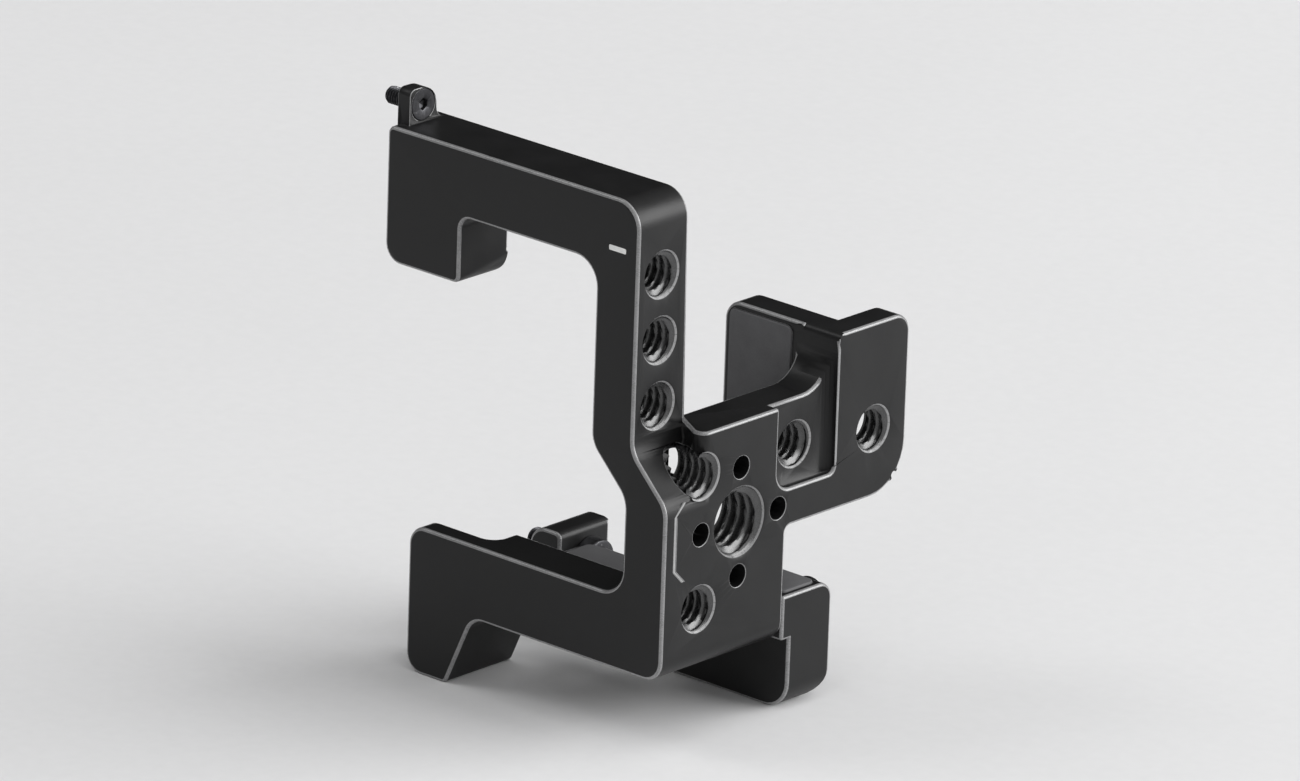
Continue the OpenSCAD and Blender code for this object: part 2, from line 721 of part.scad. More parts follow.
// Pad on the front of the post
module post_pad() {
    color([0.2, 0.2, 0.21]) placed() across_y(post_pad_box, 0, pocket_d - pad_t, pocket_d);
}
// Pad on the floor
module floor_pad() {
    color([0.3, 0.3, 0.31]) placed() across_z(floor_pad_box, 0, -pocket_d, pad_t - pocket_d);
}
// Pad on top of the rear foot
module foot_pad() {
    color([0.3, 0.3, 0.31]) placed() across_z(foot_pad_box, 0, -pocket_d, pad_t - pocket_d);
}

cage_frame();
rear_foot();
foot_screws();
locating_pins();
upper_mount_screw();
upper_screw_ring();
lower_mount_screw();
lower_screw_ring();
block_pad();
strip_pad();
panel_pad();
post_pad();
floor_pad();
foot_pad();
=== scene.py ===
# %% [markdown]
# # A small machined cage, dressed for a studio picture
# The part is milled from one block of aluminium, bead blasted and anodised black. A second milled foot is
# bolted on, and silicone pads, screws and pins complete it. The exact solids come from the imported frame, so
# this script only adds what solids lack: finishes, broken edges, real screw threads, light and a camera.

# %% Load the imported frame
import math

import bmesh
import bpy
from mathutils import Matrix, Vector
from mathutils.bvhtree import BVHTree


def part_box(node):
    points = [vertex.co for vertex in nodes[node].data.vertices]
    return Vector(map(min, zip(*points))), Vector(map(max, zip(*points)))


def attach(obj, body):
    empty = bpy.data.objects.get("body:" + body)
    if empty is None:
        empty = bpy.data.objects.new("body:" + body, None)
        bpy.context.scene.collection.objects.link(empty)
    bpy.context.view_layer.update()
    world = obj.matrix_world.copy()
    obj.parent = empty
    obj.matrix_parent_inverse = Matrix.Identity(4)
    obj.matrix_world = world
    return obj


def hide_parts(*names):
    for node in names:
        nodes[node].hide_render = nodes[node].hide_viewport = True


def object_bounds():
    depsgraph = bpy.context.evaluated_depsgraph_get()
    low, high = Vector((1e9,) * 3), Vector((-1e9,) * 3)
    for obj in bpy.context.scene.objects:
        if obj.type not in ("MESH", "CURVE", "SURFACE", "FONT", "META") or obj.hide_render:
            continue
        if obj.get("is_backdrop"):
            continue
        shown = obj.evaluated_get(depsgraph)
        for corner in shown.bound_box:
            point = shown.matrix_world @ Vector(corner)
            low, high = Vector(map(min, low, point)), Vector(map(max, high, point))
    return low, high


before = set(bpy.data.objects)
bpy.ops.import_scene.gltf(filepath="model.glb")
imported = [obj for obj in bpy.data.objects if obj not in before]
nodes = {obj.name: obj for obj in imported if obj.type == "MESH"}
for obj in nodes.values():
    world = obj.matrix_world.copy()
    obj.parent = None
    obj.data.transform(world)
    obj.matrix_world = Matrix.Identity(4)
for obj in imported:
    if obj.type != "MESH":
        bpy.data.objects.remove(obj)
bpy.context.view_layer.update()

MM = 0.001

# %% [markdown]
# ## The part's own coordinates
# The origin is the mouth of the large accessory thread. The drawing of the part counts from the strip's
# outer face, the front face and the top edge, so one helper turns drawing numbers in millimetres into metres.

# %% From drawing numbers to the frame
PANEL_X, LARGE_Y, LARGE_Z = 6.3, 14.7, -45.7    # the panel's outer face and the large thread's axis
LARGE_THREAD_AT = Vector((PANEL_X, LARGE_Y, LARGE_Z))


def place(x, y, z):
    """A point of the drawing, in millimetres, as a point of the frame, in metres."""
    return (Vector((x, y, z)) - LARGE_THREAD_AT) * MM


print("front face at y =", round(place(0, 0, 0).y, 5))

# %% [markdown]
# ## Node helpers
# Every finish below is built from nodes. A few short helpers keep that readable. They add a node and set its
# values, wire two sockets, do sums, mix colours and start a node group with named inputs and outputs. A group
# lets several materials share an effect such as grain, each with its own values.

# %% Helpers for shader nodes
def add(tree, kind, **values):
    """A new node in tree; values are properties, or inputs by name."""
    node = tree.nodes.new(kind)
    for name, value in values.items():
        if hasattr(node, name):
            setattr(node, name, value)
        else:
            node.inputs[name.replace("_", " ")].default_value = value
    return node


def wire(tree, source, target):
    tree.links.new(source, target)


def math_node(tree, operation, a, b=None, clamp=False):
    node = tree.nodes.new("ShaderNodeMath")
    node.operation = operation
    node.use_clamp = clamp
    for socket, value in zip(node.inputs, (a, b)):
        if value is None:
            continue
        if isinstance(value, (int, float)):
            socket.default_value = value
        else:
            wire(tree, value, socket)
    return node.outputs[0]


def map_range(tree, value, given, wanted=(0, 1)):
    node = tree.nodes.new("ShaderNodeMapRange")
    for name, number in zip(("From Min", "From Max", "To Min", "To Max"), (*given, *wanted)):
        node.inputs[name].default_value = number
    wire(tree, value, node.inputs["Value"])
    return node.outputs["Result"]


def mix_colors(tree, factor, first, second):
    """Sockets 6, 7 and 2 are those that a Mix node uses for colours."""
    mix = add(tree, "ShaderNodeMix", data_type="RGBA")
    wire(tree, factor, mix.inputs["Factor"])
    wire(tree, first, mix.inputs[6])
    wire(tree, second, mix.inputs[7])
    return mix.outputs[2]


print("helpers inside a node tree: add, wire, math_node, map_range, mix_colors")

# %% Helpers for node groups
FLOAT, COLOR = "NodeSocketFloat", "NodeSocketColor"


def new_group(name, inputs, outputs):
    """A shader node group; inputs maps a name to (kind, default) and outputs maps a name to its kind."""
    tree = bpy.data.node_groups.new(name, "ShaderNodeTree")
    for key, (kind, default) in inputs.items():
        socket = tree.interface.new_socket(name=key, in_out="INPUT", socket_type=kind)
        socket.default_value = default
    for key, kind in outputs.items():
        tree.interface.new_socket(name=key, in_out="OUTPUT", socket_type=kind)
    return tree, tree.nodes.new("NodeGroupInput"), tree.nodes.new("NodeGroupOutput")


def use_group(tree, group, values):
    node = add(tree, "ShaderNodeGroup", node_tree=group)
    for key, value in values.items():
        node.inputs[key].default_value = value
    return node


def sized_noise(tree, size, **values):
    """Noise in the object's own coordinates; size is a socket in millimetres."""
    where = add(tree, "ShaderNodeTexCoord")
    noise = add(tree, "ShaderNodeTexNoise", **values)
    wire(tree, where.outputs["Object"], noise.inputs["Vector"])
    wire(tree, math_node(tree, "DIVIDE", 1 / MM, size), noise.inputs["Scale"])
    return noise.outputs["Fac"]


print("helpers for groups: new_group, use_group, sized_noise")

# %% [markdown]
# ## Grain
# Bead blasting leaves a skin of tiny dents, about a tenth of a millimetre across, and anodising takes
# slightly uneven colour over larger areas. An image texture could hold both, but noise in the object's own
# coordinates needs no unwrapping and never shows a seam, so the group sums a fine and a broad noise.

# %% The grain group
FINE_SHARE = 0.55
NOISE_LOW, NOISE_HIGH = 0.36, 0.64    # where most of the summed noise lies


def make_grain():
    tree, given, result = new_group(
        "fine grain",
        {"Grain Size": (FLOAT, 0.15), "Cloud Size": (FLOAT, 4.0), "Color": (COLOR, (0.02, 0.02, 0.02, 1)),
         "Light Color": (COLOR, (0.03, 0.03, 0.03, 1)), "Roughness": (FLOAT, 0.5),
         "Roughness Spread": (FLOAT, 0.1)},
        {"Color": COLOR, "Roughness": FLOAT, "Height": FLOAT})
    fine = sized_noise(tree, given.outputs["Grain Size"], Detail=2.0, Roughness=0.55)
    broad = sized_noise(tree, given.outputs["Cloud Size"], Detail=3.0, Roughness=0.55)
    both = math_node(tree, "ADD", math_node(tree, "MULTIPLY", fine, FINE_SHARE),
                     math_node(tree, "MULTIPLY", broad, 1 - FINE_SHARE))
    spread = map_range(tree, both, (NOISE_LOW, NOISE_HIGH))
    color = mix_colors(tree, spread, given.outputs["Color"], given.outputs["Light Color"])
    centred = math_node(tree, "SUBTRACT", spread, 0.5)
    swing = math_node(tree, "MULTIPLY", centred, given.outputs["Roughness Spread"])
    roughness = math_node(tree, "ADD", swing, given.outputs["Roughness"], clamp=True)
    for source, name in ((color, "Color"), (roughness, "Roughness"), (fine, "Height")):
        wire(tree, source, result.inputs[name])
    return tree


GRAIN = make_grain()
print("grain group sockets:", [s.name for s in GRAIN.interface.items_tree])

# %% [markdown]
# ## Rub marks
# Edges and screw heads are touched most. There the black has thinned in small patches and lets metal
# through. A mask of sharpened noise gives such patches, and each material decides how many it wants.

# %% The rub mark group
RUB_LIMIT, RUB_REACH, RUB_SHARPNESS = 0.75, 0.4, 7.0


def make_rubs():
    tree, given, result = new_group(
        "rub marks",
        {"Patch Size": (FLOAT, 0.8), "Amount": (FLOAT, 0.3), "Color": (COLOR, (0.02, 0.02, 0.02, 1)),
         "Metal Color": (COLOR, (0.4, 0.4, 0.41, 1))},
        {"Color": COLOR, "Mask": FLOAT})
    noise = sized_noise(tree, given.outputs["Patch Size"], Detail=5.0, Roughness=0.7, Distortion=0.6)
    reach = math_node(tree, "MULTIPLY", given.outputs["Amount"], RUB_REACH)
    above = math_node(tree, "SUBTRACT", noise, math_node(tree, "SUBTRACT", RUB_LIMIT, reach))
    mask = math_node(tree, "MULTIPLY", above, RUB_SHARPNESS, clamp=True)
    color = mix_colors(tree, mask, given.outputs["Color"], given.outputs["Metal Color"])
    wire(tree, color, result.inputs["Color"])
    wire(tree, mask, result.inputs["Mask"])
    return tree


RUBS = make_rubs()
print("rub mark group sockets:", [s.name for s in RUBS.interface.items_tree])

# %% [markdown]
# ## Finishes
# One builder makes every opaque finish: grain, then rub marks, then a bump that only the normal sees.
# Metalness and gloss level are plain values on the shader itself, because the exported model keeps those and
# would lose linked ones.

# %% The finish builder
def finish(name, dark, light, roughness, metallic=0.0, grain=0.15, cloud=4.0, spread=0.1, bump=0.15,
           bump_depth=0.02, rubs=0.0, rub_size=0.8, rub_color=(0.4, 0.4, 0.41), specular=0.5):
    """A material with the given dark and light tones, in linear colour; sizes in millimetres."""
    material = bpy.data.materials.new(name)
    material.use_nodes = True
    tree = material.node_tree
    shader = tree.nodes["Principled BSDF"]
    shader.inputs["Metallic"].default_value = metallic
    shader.inputs["Specular IOR Level"].default_value = specular
    base = use_group(tree, GRAIN, {
        "Grain Size": grain, "Cloud Size": cloud, "Color": (*dark, 1), "Light Color": (*light, 1),
        "Roughness": roughness, "Roughness Spread": spread})
    color = base.outputs["Color"]
    if rubs:
        worn = use_group(tree, RUBS, {"Patch Size": rub_size, "Amount": rubs, "Metal Color": (*rub_color, 1)})
        wire(tree, color, worn.inputs["Color"])
        color = worn.outputs["Color"]
    wire(tree, color, shader.inputs["Base Color"])
    wire(tree, base.outputs["Roughness"], shader.inputs["Roughness"])
    relief = add(tree, "ShaderNodeBump", Strength=bump, Distance=bump_depth * MM)
    wire(tree, base.outputs["Height"], relief.inputs["Height"])
    wire(tree, relief.outputs["Normal"], shader.inputs["Normal"])
    return material


print("a finish is built from the groups:", GRAIN.name, "and", RUBS.name)

# %% The finishes
ANODISED = finish("black_anodised", (0.006, 0.006, 0.0062), (0.0095, 0.0095, 0.0098), 0.4, grain=0.16,
                  cloud=5, bump=0.45, bump_depth=0.012, specular=0.3)
# Light grey on the chamfers is a painted highlight; the rub marks on it are wear.
EDGE_HIGHLIGHT_AND_WEAR = finish("broken_edge", (0.17, 0.17, 0.172), (0.25, 0.25, 0.253), 0.28, grain=0.12, cloud=2.5,
              bump=0.2, bump_depth=0.006, rubs=0.2, rub_size=1.6, rub_color=(0.36, 0.36, 0.365),
              specular=0.9)
# Light grey on the countersunk mouths is a painted glint.
MOUTH_GLINT = finish("mouth_painted_glint", (0.27, 0.27, 0.272), (0.36, 0.36, 0.363), 0.2, grain=0.1, cloud=1.5,
               spread=0.08, bump_depth=0.005, specular=0.9)
THREAD = finish("cut_thread", (0.016, 0.016, 0.0165), (0.045, 0.045, 0.046), 0.28, grain=0.1, cloud=1.5,
                bump=0.2, bump_depth=0.006, specular=0.9)
SILICONE = finish("grey_silicone", (0.105, 0.105, 0.108), (0.135, 0.135, 0.14), 0.72, grain=0.09, cloud=3,
                  bump=0.35, bump_depth=0.015, specular=0.3)
BLACK_STEEL = finish("blackened_steel", (0.035, 0.035, 0.038), (0.07, 0.07, 0.075), 0.34, metallic=0.85,
                     grain=0.08, cloud=1.2, spread=0.14, bump=0.2, bump_depth=0.008, rubs=0.3, rub_size=0.7)
STEEL = finish("ground_steel", (0.5, 0.5, 0.51), (0.62, 0.62, 0.63), 0.24, metallic=1.0, grain=0.06,
               cloud=1.5, spread=0.12, bump_depth=0.005)
WHITE_FILL = finish("white_fill", (0.78, 0.78, 0.77), (0.86, 0.86, 0.85), 0.55, grain=0.08, cloud=1,
                    bump=0.2, bump_depth=0.008)
# Light grey in the engraved line is a painted highlight along its edge.
LINE_HIGHLIGHT_FILL = finish("line_highlight_fill", (0.24, 0.24, 0.24), (0.33, 0.33, 0.33), 0.5, grain=0.08, cloud=1,
                   bump=0.2, bump_depth=0.008)
for material in (ANODISED, EDGE_HIGHLIGHT_AND_WEAR, MOUTH_GLINT, THREAD, SILICONE, BLACK_STEEL, STEEL, WHITE_FILL, LINE_HIGHLIGHT_FILL):
    print("finish:", material.name, len(material.node_tree.nodes), "nodes")

# %% [markdown]
# ## Broken edges
# After milling, every outer edge gets a small chamfer, and those chamfers are what the eye follows: they
# catch the light as thin bright lines. The chamfer faces get a light grey finish, a painted highlight, with
# rub marks of wear on it. A Bevel modifier would make the chamfers, but on a solid with this many holes and
# pockets a few corners always fold over. So the bevel is made in code, on a copy of the solid, in rounds:
# each result is compared with the solid, and where a corner sticks out or has turned over, its edges stay
# sharp in the next round.

# %% A welded copy of a solid
SAME_POINT = 0.002 * MM
SAME_PLANE = math.radians(0.6)


def welded_copy(node, triangles):
    work = bmesh.new()
    work.from_mesh(nodes[node].data)
    bmesh.ops.remove_doubles(work, verts=work.verts, dist=SAME_POINT)
    bmesh.ops.dissolve_limit(work, angle_limit=SAME_PLANE, verts=work.verts, edges=work.edges)
    if triangles:
        wide = [face for face in work.faces if len(face.verts) > 4]
        bmesh.ops.triangulate(work, faces=wide, quad_method="BEAUTY", ngon_method="BEAUTY")
    work.normal_update()
    return work


sample = welded_copy("rear_foot", triangles=False)
print("faces of the rear foot, packed and welded:", len(nodes["rear_foot"].data.polygons), len(sample.faces))

# %% Outer edges
ROOF_ANGLE = math.radians(52)


def outer_edges(work, left_sharp):
    """Edges where two faces meet like a roof, apart from those near a place that is left sharp."""
    edges = []
    for edge in work.edges:
        middle = (edge.verts[0].co + edge.verts[1].co) / 2
        if (len(edge.link_faces) == 2 and edge.calc_face_angle_signed(0) > ROOF_ANGLE
                and not any((middle - spot).length < reach for spot, reach in left_sharp)):
            edges.append(edge)
    return edges


print("outer edges of the rear foot:", len(outer_edges(sample, [])))

# %% Chains of edges
SHORTEST_CHAIN = 1.5 * MM
SMALL_LOOP = 11 * MM


def chains(edges):
    """Groups of edges that hang together, without the ones too short to be worth a chamfer."""
    left, groups = dict.fromkeys(edges), []
    while left:
        front, group = [left.popitem()[0]], []
        while front:
            edge = front.pop()
            group.append(edge)
            for other in (o for vert in edge.verts for o in vert.link_edges if o in left):
                del left[other]
                front.append(other)
        if sum(edge.calc_length() for edge in group) > SHORTEST_CHAIN:
            groups.append(group)
    return groups


def is_fine(group, zones):
    """Small loops, such as the mouth of a hole, and loops inside a zone get a finer chamfer."""
    points = [vert.co for edge in group for vert in edge.verts]
    low, high = (Vector([pick(p[c] for p in points) for c in range(3)]) for pick in (min, max))
    inside = any(all(a[c] < low[c] and high[c] < b[c] for c in range(3)) for a, b in zones)
    return inside or max(high - low) < SMALL_LOOP


print("chains that they form:", len(chains(outer_edges(sample, []))))

# %% Faults of a bevel
CHAMFER = 0.4 * MM
STICKS_OUT = 0.01 * MM
TINY_AREA = 0.002 * MM ** 2
TURNED_OVER = 0.3    # a face has turned over when its normal follows the solid's by less than this


def faults(work, tree, reach):
    """Points that stick out of the solid or lie too far inside it, and faces that have turned over."""
    places = []
    for vert in work.verts:
        near, normal, _, distance = tree.find_nearest(vert.co)
        outside = distance > STICKS_OUT and (vert.co - near).dot(normal) > 0
        if outside or distance > reach:
            places += [vert.co.copy()] + [edge.other_vert(vert).co.copy() for edge in vert.link_edges]
    for face in work.faces:
        if face.calc_area() > TINY_AREA:
            _, normal, _, distance = tree.find_nearest(face.calc_center_median())
            if distance < reach and face.normal.dot(normal) < TURNED_OVER:
                places += [vert.co.copy() for vert in face.verts]
    return places


print("fault points before any bevel:", len(faults(sample, BVHTree.FromBMesh(sample), CHAMFER / 2)))

# %% One round of the bevel
FINE_CHAMFER = 0.09 * MM


def bevel_round(solid, zones, left_sharp):
    """A copy of the solid with a bevel on its outer edges; the bevel's faces have material 1."""
    work = solid.copy()
    fine, full = [], []
    for group in chains(outer_edges(work, left_sharp)):
        (fine if is_fine(group, zones) else full).extend(group)
    for face in work.faces:
        face.material_index = 0
    sizes = len(fine), len(full)
    for edges, offset in ((fine, FINE_CHAMFER), (full, CHAMFER)):
        bmesh.ops.bevel(work, geom=edges, offset=offset, offset_type="OFFSET", segments=2, profile=0.5,
                        affect="EDGES", clamp_overlap=False, loop_slide=False, miter_outer="ARC",
                        spread=0.05 * MM, material=1)
    work.normal_update()
    return work, sizes


trial, sizes = bevel_round(sample, [], [])
print("one round on the rear foot:", sum(sizes), "edges bevelled,", len(trial.faces), "faces")
for work in (trial, sample):
    work.free()

# %% All rounds
ROUNDS = 8


def bevel_in_rounds(node, zones, triangles, left_sharp):
    """The solid of a node with as many bevelled edges as hold."""
    solid = welded_copy(node, triangles)
    tree = BVHTree.FromBMesh(solid)
    for attempt in range(ROUNDS):
        work, sizes = bevel_round(solid, zones, left_sharp)
        places = faults(work, tree, CHAMFER / 2)
        print(node, "round", attempt, "edges", *sizes, "fault points", len(places))
        if not places or attempt == ROUNDS - 1:
            return work
        reach = (0.15 + 0.12 * attempt) * MM
        left_sharp = left_sharp + [(p, reach) for p in {tuple(p): p for p in places}.values()]
        work.free()


print("rounds at most:", ROUNDS)

# %% From the bevel to a piece
LEVEL_ANGLE = 0.003    # neighbours closer than this, in radians, lie in one plane
SQUARE = 0.9999        # the same for a normal along an axis


def break_edges(node, zones, triangles, left_sharp=()):
    """A piece that takes the node's place, flat where it is flat and with even normals elsewhere."""
    work = bevel_in_rounds(node, zones, triangles, list(left_sharp))
    for face in work.faces:
        pairs = [edge for edge in face.edges if len(edge.link_faces) == 2]
        level = any(edge.calc_face_angle(1) < LEVEL_ANGLE for edge in pairs)
        square = max(abs(c) for c in face.normal) > SQUARE
        face.smooth = face.material_index == 1 or not (level or square)
    mesh = bpy.data.meshes.new(node + "_broken_edges")
    work.to_mesh(mesh)
    work.free()
    # Slot 1 gives the bevel faces the painted edge highlight.
    for material in (ANODISED, EDGE_HIGHLIGHT_AND_WEAR):
        mesh.materials.append(material)
    mesh.set_sharp_from_angle(angle=math.radians(50))
    piece = bpy.data.objects.new(node + "_broken_edges", mesh)
    bpy.context.scene.collection.objects.link(piece)
    even = piece.modifiers.new("even normals", "WEIGHTED_NORMAL")
    even.keep_sharp = True
    even.weight = 100
    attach(piece, "frame")
    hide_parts(node)
    print(piece.name, len(mesh.polygons), "faces")


print("material slots of a broken edge piece:", ANODISED.name, "and", EDGE_HIGHLIGHT_AND_WEAR.name)

# %% Break the edges of the two milled pieces
def zone(x, y, z):
    """Two corners from drawing ranges, in millimetres."""
    return place(x[0], y[0], z[0]), place(x[1], y[1], z[1])


FRAME_ZONES = [
    zone((5.9, 6.6), (1.2, 8.0), (-52.5, -39.5)),      # engraved line
    zone((-45.0, -31.0), (9.1, 9.8), (-16.5, -0.6)),   # pad pockets: block, strip, panel, post and floor
    zone((-7.0, -0.5), (9.1, 9.8), (-31.5, -3.0)),
    zone((-1.6, -0.4), (10.2, 23.0), (-58.0, -31.8)),
    zone((-13.6, -1.4), (33.1, 33.9), (-48.4, -24.6)),
    zone((-25.2, -8.2), (9.0, 20.5), (-59.2, -58.2)),
]
FOOT_ZONES = [zone((-8.4, 5.9), (24.6, 33.2), (-59.2, -58.2))]
SMALL_RELIEF = [(place(x, 45.66, -46.66), 1.1 * MM) for x in (2, 3, 4, 5, 6)]
break_edges("cage_frame", FRAME_ZONES, triangles=True, left_sharp=SMALL_RELIEF)
break_edges("rear_foot", FOOT_ZONES, triangles=False)
for node in ("locating_pins", "upper_screw_ring", "lower_screw_ring"):
    nodes[node].data.materials.clear()
    nodes[node].data.materials.append(STEEL)

# %% [markdown]
# ## Pieces made from points
# Threads, screws and pads are added as meshes of their own. A mesh can be drawn by hand, sculpted, or
# computed from a rule. All of these follow a rule, so one helper takes points and faces, smooths what is
# round, keeps what is sharp, and ties the piece to the body that it moves with.

# %% A piece from points and faces
PIECE_SHARP = 38


def make_piece(name, points, faces, materials, body, closed=False, face_slots=None):
    """points are drawing numbers in millimetres."""
    mesh = bpy.data.meshes.new(name)
    mesh.from_pydata([place(*p) for p in points], [], faces)
    for material in materials:
        mesh.materials.append(material)
    if face_slots:
        mesh.polygons.foreach_set("material_index", face_slots)
    if closed:
        work = bmesh.new()
        work.from_mesh(mesh)
        bmesh.ops.recalc_face_normals(work, faces=work.faces)
        work.to_mesh(mesh)
        work.free()
    mesh.polygons.foreach_set("use_smooth", [True] * len(mesh.polygons))
    mesh.set_sharp_from_angle(angle=math.radians(PIECE_SHARP))
    piece = bpy.data.objects.new(name, mesh)
    bpy.context.scene.collection.objects.link(piece)
    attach(piece, body)
    print(name, len(mesh.polygons), "faces, on body", body)
    return piece


print("made pieces are sharp from", PIECE_SHARP, "degrees on")

# %% [markdown]
# ## Turned surfaces
# A screw and a threaded hole are both turned surfaces whose radius may change with the angle. So each is a
# list of rows along its axis, and each row has one radius and one height for every step round. A hexagon
# socket, a knurl and a helical thread then need no cutting: they are only different numbers in a row.

# %% Rows round an axis
STEPS = 60


def ring(radius, height):
    return [(radius, height)] * STEPS


def hexagon(flats, share, height):
    """A row of six sides, flats millimetres across, scaled by share."""
    row = []
    for i in range(STEPS):
        angle = math.radians((i * 360 / STEPS + 30) % 60 - 30)
        row.append((share * flats / 2 / math.cos(angle), height))
    return row


def knurl(radius, depth, height):
    return [(radius - depth * (i % 2), height) for i in range(STEPS)]


def ridge(i, height, pitch):
    """0 at a thread's root and 1 on its crest, for step i at this height."""
    turn = (i / STEPS + height / pitch) % 1
    return min(1, max(0, 1.5 * (1 - abs(2 * turn - 1)) - 0.25))


radii = [radius for radius, _ in hexagon(2, 1, 0)]
print("a 2 mm hexagon has radii from", round(min(radii), 3), "to", round(max(radii), 3))

# %% A surface from rows
def lathe(name, rows, axis, at, materials, body, flip=False, row_slots=None):
    """Joins rows; axis is 0 for x or 1 for y, and at holds the axis line's other two numbers."""
    points = []
    for row in rows:
        for i, (radius, height) in enumerate(row):
            angle = 2 * math.pi * i / STEPS
            point = [0, 0, 0]
            point[axis] = height
            point[(axis + 1) % 3] = at[0] + radius * math.cos(angle)
            point[(axis + 2) % 3] = at[1] + radius * math.sin(angle)
            points.append(point)
    faces, slots = [], []
    for j in range(len(rows) - 1):
        for i in range(STEPS):
            k = (i + 1) % STEPS
            face = [j * STEPS + i, j * STEPS + k, (j + 1) * STEPS + k, (j + 1) * STEPS + i]
            faces.append(face[::-1] if flip else face)
            slots.append(row_slots[j] if row_slots else 0)
    return make_piece(name, points, faces, materials, body, face_slots=slots)


print("points in each row:", STEPS)

# %% [markdown]
# ## Threaded holes
# The accessory holes have coarse threads that show as dark ridges, and a countersunk mouth whose light grey
# finish is a painted glint. Displacing the wall of the hole would need a very dense mesh, so each hole gets a
# thin sleeve: its roots lie just behind the wall, so that only the ridges stand out, and they fade at both
# ends as a tap leaves them.

# %% Thread sleeves
COUNTERSINK = 0.3      # depth of the mouth, and how much wider it is than the hole
IN_FRONT = 0.008       # the sleeve's mouth stands this far in front of the metal
BEHIND = 0.012         # and the thread's roots this far behind it
ROWS_PER_TURN = 12
FADE = 2.5             # a thread reaches its depth in 1 / FADE turns


def thread_sleeve(name, mouth, end, y, z, radius, pitch, depth, rim):
    rows = [ring(radius + COUNTERSINK - d - IN_FRONT, mouth - d) for d in (0.08, 0.19, COUNTERSINK)]
    # The two mouth rows take the rim finish, a painted glint.
    slots = [1, 1]
    start = mouth - COUNTERSINK
    count = int((start - end) / pitch * ROWS_PER_TURN)
    for j in range(count + 1):
        x = start - (start - end) * j / count
        fade = min(1, (start - x) / pitch * FADE, (x - end) / pitch * FADE)
        rows.append([(radius + BEHIND - depth * fade * ridge(i, x, pitch), x) for i in range(STEPS)])
        slots.append(0)
    return lathe(name, rows, 0, (y, z), [THREAD, rim], "frame", row_slots=slots)


print("a thread reaches its depth in", 1 / FADE, "turns")

# %% The eight threaded holes
INNER_END = -0.98    # where the panel's holes end, just short of its inner face
# The last number of each hole size is its mouth's finish, a painted glint.
SMALL, LARGE = (3.175, 1.27, 0.75, MOUTH_GLINT), (4.7625, 1.5875, 0.95, EDGE_HIGHLIGHT_AND_WEAR)    # radius, pitch, depth, rim
for name, z in (("upper", -10.6), ("middle", -19.7), ("lower", -28.8)):
    thread_sleeve("strip_thread_" + name, 0, -7.28, 4.8, z, *SMALL)
broken_out = thread_sleeve("panel_thread_upper", PANEL_X, INNER_END, 7.2, -37.6, *SMALL)
thread_sleeve("panel_thread_lower", PANEL_X, INNER_END, 7.2, -56.1, *SMALL)
thread_sleeve("recess_thread", 4.7, INNER_END, 27, -38.2, *SMALL)
thread_sleeve("flange_thread", PANEL_X, 1.82, 41.1, -39.0, *SMALL)
thread_sleeve("large_thread", PANEL_X, INNER_END, LARGE_Y, LARGE_Z, *LARGE)

# %% [markdown]
# The panel's upper hole breaks out through the ramp, where the metal ends at a slant. Its sleeve is cut along
# the ramp and along the two walls of the cheek, and what stands in the open air is taken away.

# %% Trim the sleeve that breaks out
RAMP_START = -34.2                   # height where the ramp leaves the strip's face, at 45 degrees
CHEEK_Y, CHEEK_STEP = 9.6, 2.6       # the cheek's wall at the strip, and how far forward it comes
CHEEK_RUN = 4.4                      # over this distance in x


def trim_at_ramp(piece):
    work = bmesh.new()
    work.from_mesh(piece.data)
    for point, normal in (((0, 0, RAMP_START), (1, 0, 1)), ((0, CHEEK_Y, 0), (CHEEK_STEP, CHEEK_RUN, 0)),
                          ((0, CHEEK_Y - CHEEK_STEP, 0), (0, 1, 0))):
        bmesh.ops.bisect_plane(work, geom=[*work.verts, *work.edges, *work.faces], dist=1e-7,
                               plane_co=place(*point), plane_no=normal)
    loose = []
    for face in work.faces:
        x, y, z = face.calc_center_median() / MM + LARGE_THREAD_AT
        wall = CHEEK_Y - CHEEK_STEP * min(1, max(0, x) / CHEEK_RUN)
        if x > RAMP_START - z and y < wall:
            loose.append(face)
    bmesh.ops.delete(work, geom=loose, context="FACES")
    work.to_mesh(piece.data)
    work.free()
    return len(loose)


print("faces trimmed at the ramp:", trim_at_ramp(broken_out))

# %% [markdown]
# ## Screws
# The four screws are small, but from behind and from the inner side they tell how the part is fastened. The
# heads of the three cap screws are knurled, the upper screw is countersunk flush with its ear, and all have
# a hexagon socket. The tips that stand out of the contact faces carry a real helical thread.

# %% Screw rows
def socket_rows(flats, depth, top):
    return [ring(0, top - depth - 0.15 * flats), hexagon(flats, 0.97, top - depth),
            hexagon(flats, 1, top - depth + 0.05), hexagon(flats, 1, top - 0.1),
            ring(flats / 2 / math.cos(math.radians(30)) + 0.1, top)]


def cap_rows(radius, top, seat):
    return [ring(radius - 0.3, top), ring(radius - 0.09, top - 0.08), ring(radius - 0.02, top - 0.26),
            knurl(radius - 0.01, 0.13, top - 0.4), knurl(radius - 0.01, 0.13, seat + 0.5),
            ring(radius - 0.02, seat + 0.36), ring(radius - 0.02, seat + 0.1), ring(radius - 0.12, seat)]


TIP = 0.4               # size of the chamfer on a screw's point
DEPTH_SHARE = 0.61      # depth of a metric thread, as a share of its pitch


def thread_rows(radius, pitch, start, tip):
    """Rows from start down to tip, with a chamfered point."""
    rows, depth, count = [], DEPTH_SHARE * pitch, int((start - tip) / pitch * 10)
    for j in range(count + 1):
        x = start - (start - tip) * j / count
        fade = min(1, (start - x) / pitch * 2)
        limit = radius - TIP + min(TIP, x - tip)
        rows.append([(min(limit, radius - depth * fade * (1 - ridge(i, x, pitch))), x)
                     for i in range(STEPS)])
    return rows + [ring(radius - TIP - 0.05, tip), ring(0, tip)]


print("rows of an M3 thread 4 mm long:", len(thread_rows(1.5, 0.5, 0, -4)))

